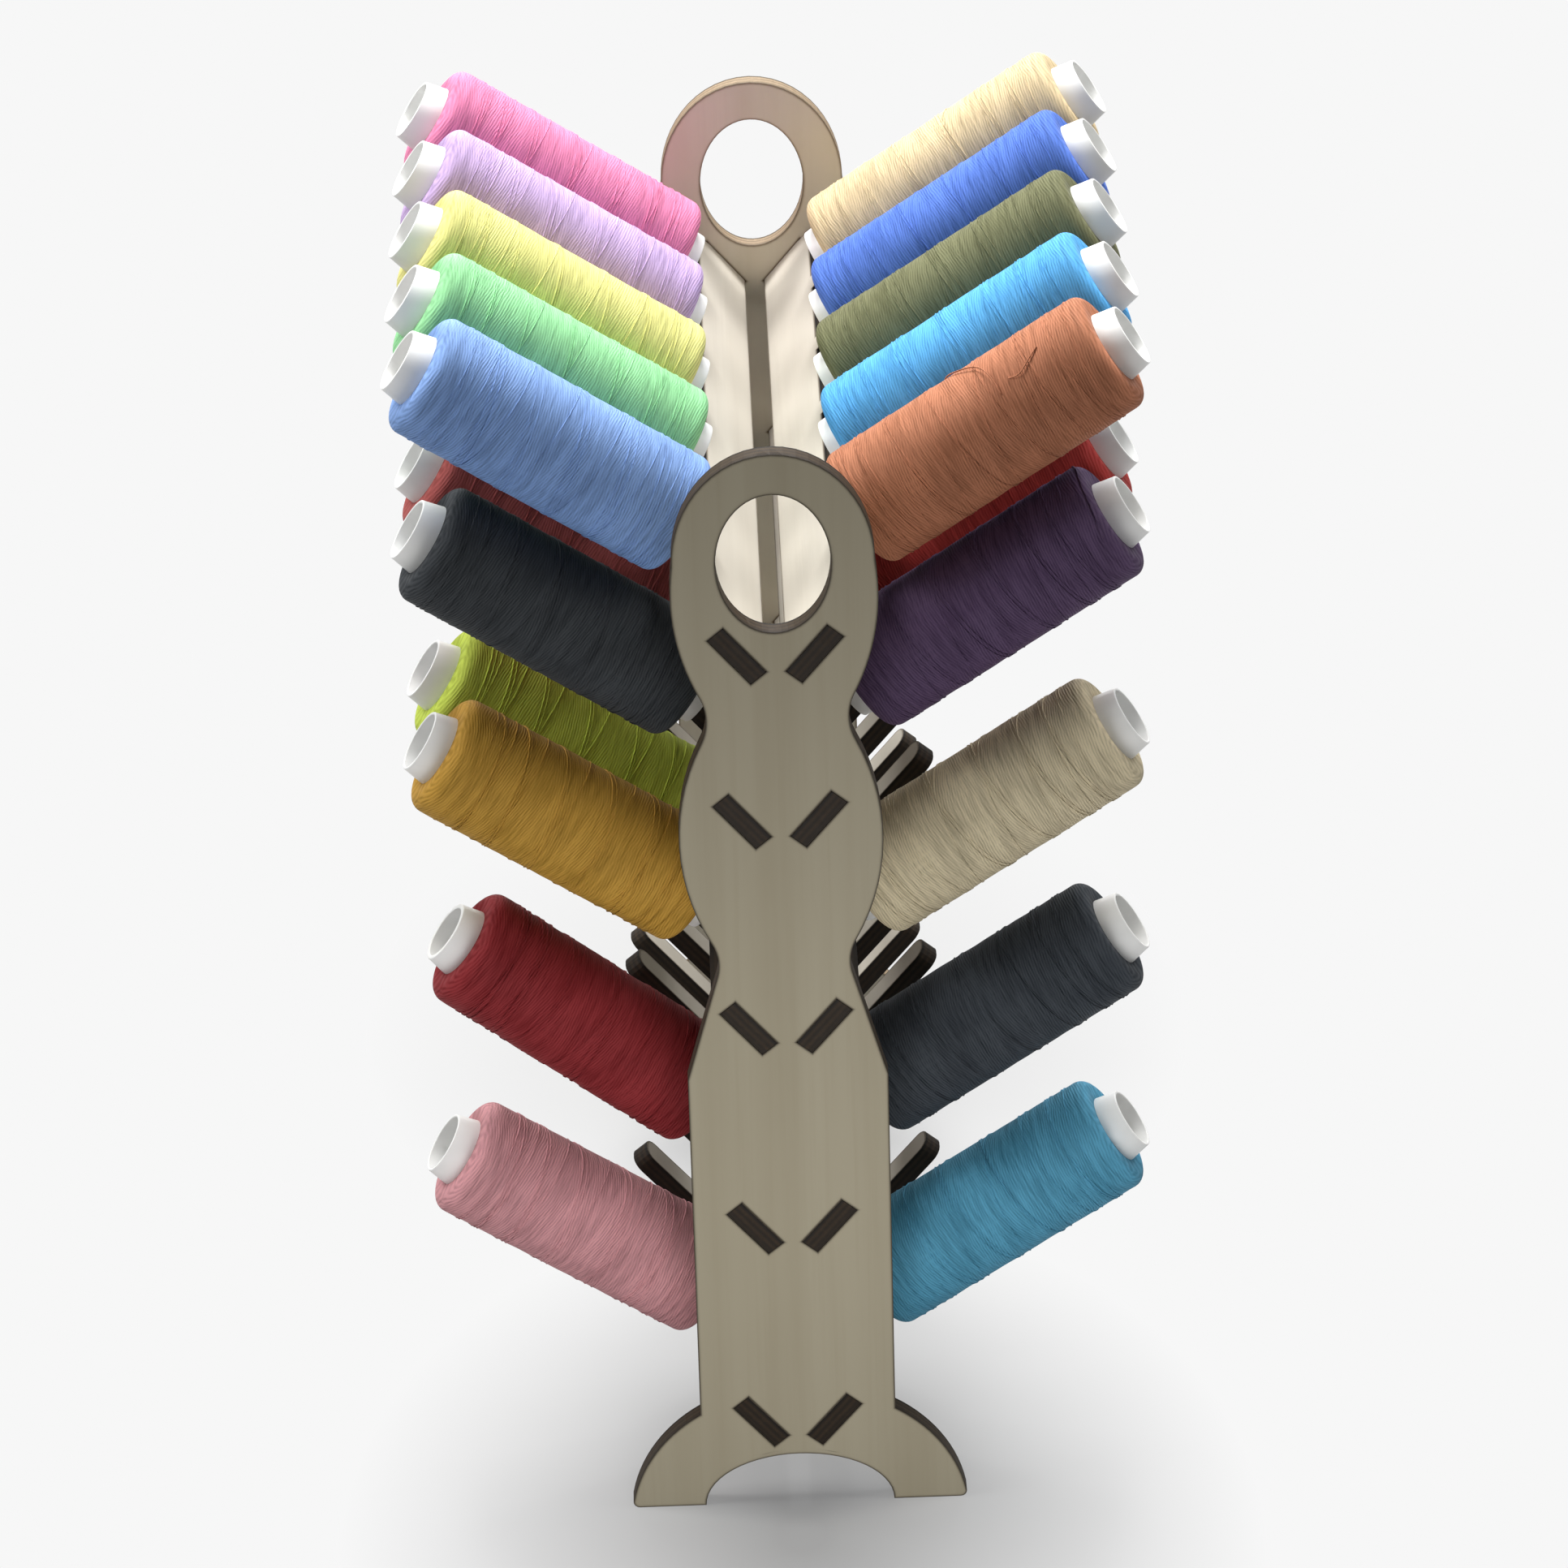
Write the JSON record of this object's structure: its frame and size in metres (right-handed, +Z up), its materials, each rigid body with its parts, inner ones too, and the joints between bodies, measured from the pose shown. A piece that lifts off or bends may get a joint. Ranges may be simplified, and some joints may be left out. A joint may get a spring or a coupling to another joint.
{
  "type": "thread rack",
  "caption": "Free-standing two-sided rack of slotted plywood panels and tilted comb boards, with spools of sewing thread leaning on its pegs.",
  "frame": {"origin": "on the table under the middle of the rack", "axes": "+Z up; -Y to the front panel; +X to the right of someone facing the front panel"},
  "size_m": [0.1142, 0.143, 0.1953],
  "materials": {
    "panel_ply": "bare laser-cut plywood",
    "board_ply": "bare laser-cut plywood",
    "tube_plastic": "white, satin",
    "blue_thread": "wound sewing thread, soft sheen",
    "green_thread": "wound sewing thread, soft sheen",
    "yellow_thread": "wound sewing thread, soft sheen",
    "lilac_thread": "wound sewing thread, soft sheen",
    "pink_thread": "wound sewing thread, soft sheen",
    "black_thread": "wound sewing thread, soft sheen",
    "coral_thread": "wound sewing thread, soft sheen",
    "mustard_thread": "wound sewing thread, soft sheen",
    "lime_thread": "wound sewing thread, soft sheen",
    "crimson_thread": "wound sewing thread, soft sheen",
    "rose_thread": "wound sewing thread, soft sheen",
    "terracotta_thread": "wound sewing thread, soft sheen",
    "sky_blue_thread": "wound sewing thread, soft sheen",
    "olive_thread": "wound sewing thread, soft sheen",
    "royal_blue_thread": "wound sewing thread, soft sheen",
    "tan_thread": "wound sewing thread, soft sheen",
    "purple_thread": "wound sewing thread, soft sheen",
    "red_thread": "wound sewing thread, soft sheen",
    "cream_thread": "wound sewing thread, soft sheen",
    "charcoal_thread": "wound sewing thread, soft sheen",
    "teal_thread": "wound sewing thread, soft sheen"
  },
  "bodies": {
    "rack": {"front_panel": "panel_ply", "rear_panel": "panel_ply", "left_comb_1": "board_ply", "left_comb_2": "board_ply", "left_comb_3": "board_ply", "left_comb_4": "board_ply", "left_comb_5": "board_ply", "right_comb_1": "board_ply", "right_comb_2": "board_ply", "right_comb_3": "board_ply", "right_comb_4": "board_ply", "right_comb_5": "board_ply"},
    "blue_spool": {"blue_tube": "tube_plastic", "blue_thread": "blue_thread"},
    "green_spool": {"green_tube": "tube_plastic", "green_thread": "green_thread"},
    "yellow_spool": {"yellow_tube": "tube_plastic", "yellow_thread": "yellow_thread"},
    "lilac_spool": {"lilac_tube": "tube_plastic", "lilac_thread": "lilac_thread"},
    "pink_spool": {"pink_tube": "tube_plastic", "pink_thread": "pink_thread"},
    "black_spool": {"black_tube": "tube_plastic", "black_thread": "black_thread"},
    "coral_spool": {"coral_tube": "tube_plastic", "coral_thread": "coral_thread"},
    "mustard_spool": {"mustard_tube": "tube_plastic", "mustard_thread": "mustard_thread"},
    "lime_spool": {"lime_tube": "tube_plastic", "lime_thread": "lime_thread"},
    "crimson_spool": {"crimson_tube": "tube_plastic", "crimson_thread": "crimson_thread"},
    "rose_spool": {"rose_tube": "tube_plastic", "rose_thread": "rose_thread"},
    "terracotta_spool": {"terracotta_tube": "tube_plastic", "terracotta_thread": "terracotta_thread"},
    "sky_blue_spool": {"sky_blue_tube": "tube_plastic", "sky_blue_thread": "sky_blue_thread"},
    "olive_spool": {"olive_tube": "tube_plastic", "olive_thread": "olive_thread"},
    "royal_blue_spool": {"royal_blue_tube": "tube_plastic", "royal_blue_thread": "royal_blue_thread"},
    "tan_spool": {"tan_tube": "tube_plastic", "tan_thread": "tan_thread"},
    "purple_spool": {"purple_tube": "tube_plastic", "purple_thread": "purple_thread"},
    "red_spool": {"red_tube": "tube_plastic", "red_thread": "red_thread"},
    "cream_spool": {"cream_tube": "tube_plastic", "cream_thread": "cream_thread"},
    "charcoal_spool": {"charcoal_tube": "tube_plastic", "charcoal_thread": "charcoal_thread"},
    "teal_spool": {"teal_tube": "tube_plastic", "teal_thread": "teal_thread"}
  },
  "joints": [
    {"name": "blue_spin", "type": "hinge", "parent": "rack", "child": "blue_spool", "pos_m": [-0.01103, -0.0476, 0.16129], "axis": [-0.831, 0, 0.5563], "continuous": true},
    {"name": "green_spin", "type": "hinge", "parent": "rack", "child": "green_spool", "pos_m": [-0.01103, -0.0238, 0.16129], "axis": [-0.831, 0, 0.5563], "continuous": true},
    {"name": "yellow_spin", "type": "hinge", "parent": "rack", "child": "yellow_spool", "pos_m": [-0.01103, 0, 0.16129], "axis": [-0.831, 0, 0.5563], "continuous": true},
    {"name": "lilac_spin", "type": "hinge", "parent": "rack", "child": "lilac_spool", "pos_m": [-0.01103, 0.0238, 0.16129], "axis": [-0.831, 0, 0.5563], "continuous": true},
    {"name": "pink_spin", "type": "hinge", "parent": "rack", "child": "pink_spool", "pos_m": [-0.01103, 0.0476, 0.16129], "axis": [-0.831, 0, 0.5563], "continuous": true},
    {"name": "black_spin", "type": "hinge", "parent": "rack", "child": "black_spool", "pos_m": [-0.01103, -0.0476, 0.13339], "axis": [-0.831, 0, 0.5563], "continuous": true},
    {"name": "coral_spin", "type": "hinge", "parent": "rack", "child": "coral_spool", "pos_m": [-0.01103, -0.0238, 0.13339], "axis": [-0.831, 0, 0.5563], "continuous": true},
    {"name": "mustard_spin", "type": "hinge", "parent": "rack", "child": "mustard_spool", "pos_m": [-0.01103, -0.0476, 0.09739], "axis": [-0.831, 0, 0.5563], "continuous": true},
    {"name": "lime_spin", "type": "hinge", "parent": "rack", "child": "lime_spool", "pos_m": [-0.01103, -0.0238, 0.09739], "axis": [-0.831, 0, 0.5563], "continuous": true},
    {"name": "crimson_spin", "type": "hinge", "parent": "rack", "child": "crimson_spool", "pos_m": [-0.01104, -0.0476, 0.0606], "axis": [-0.788, 0, 0.6157], "continuous": true},
    {"name": "rose_spin", "type": "hinge", "parent": "rack", "child": "rose_spool", "pos_m": [-0.01103, -0.0476, 0.02539], "axis": [-0.831, 0, 0.5563], "continuous": true},
    {"name": "terracotta_spin", "type": "hinge", "parent": "rack", "child": "terracotta_spool", "pos_m": [0.01103, -0.0476, 0.16129], "axis": [0.831, 0, 0.5563], "continuous": true},
    {"name": "sky_blue_spin", "type": "hinge", "parent": "rack", "child": "sky_blue_spool", "pos_m": [0.01103, -0.0238, 0.16129], "axis": [0.831, 0, 0.5563], "continuous": true},
    {"name": "olive_spin", "type": "hinge", "parent": "rack", "child": "olive_spool", "pos_m": [0.01103, 0, 0.16129], "axis": [0.831, 0, 0.5563], "continuous": true},
    {"name": "royal_blue_spin", "type": "hinge", "parent": "rack", "child": "royal_blue_spool", "pos_m": [0.01103, 0.0238, 0.16129], "axis": [0.831, 0, 0.5563], "continuous": true},
    {"name": "tan_spin", "type": "hinge", "parent": "rack", "child": "tan_spool", "pos_m": [0.01103, 0.0476, 0.16129], "axis": [0.831, 0, 0.5563], "continuous": true},
    {"name": "purple_spin", "type": "hinge", "parent": "rack", "child": "purple_spool", "pos_m": [0.01103, -0.0476, 0.13339], "axis": [0.831, 0, 0.5563], "continuous": true},
    {"name": "red_spin", "type": "hinge", "parent": "rack", "child": "red_spool", "pos_m": [0.01103, -0.0238, 0.13339], "axis": [0.831, 0, 0.5563], "continuous": true},
    {"name": "cream_spin", "type": "hinge", "parent": "rack", "child": "cream_spool", "pos_m": [0.01103, -0.0476, 0.09739], "axis": [0.831, 0, 0.5563], "continuous": true},
    {"name": "charcoal_spin", "type": "hinge", "parent": "rack", "child": "charcoal_spool", "pos_m": [0.01103, -0.0476, 0.06139], "axis": [0.831, 0, 0.5563], "continuous": true},
    {"name": "teal_spin", "type": "hinge", "parent": "rack", "child": "teal_spool", "pos_m": [0.01103, -0.0476, 0.02539], "axis": [0.831, 0, 0.5563], "continuous": true}
  ]
}
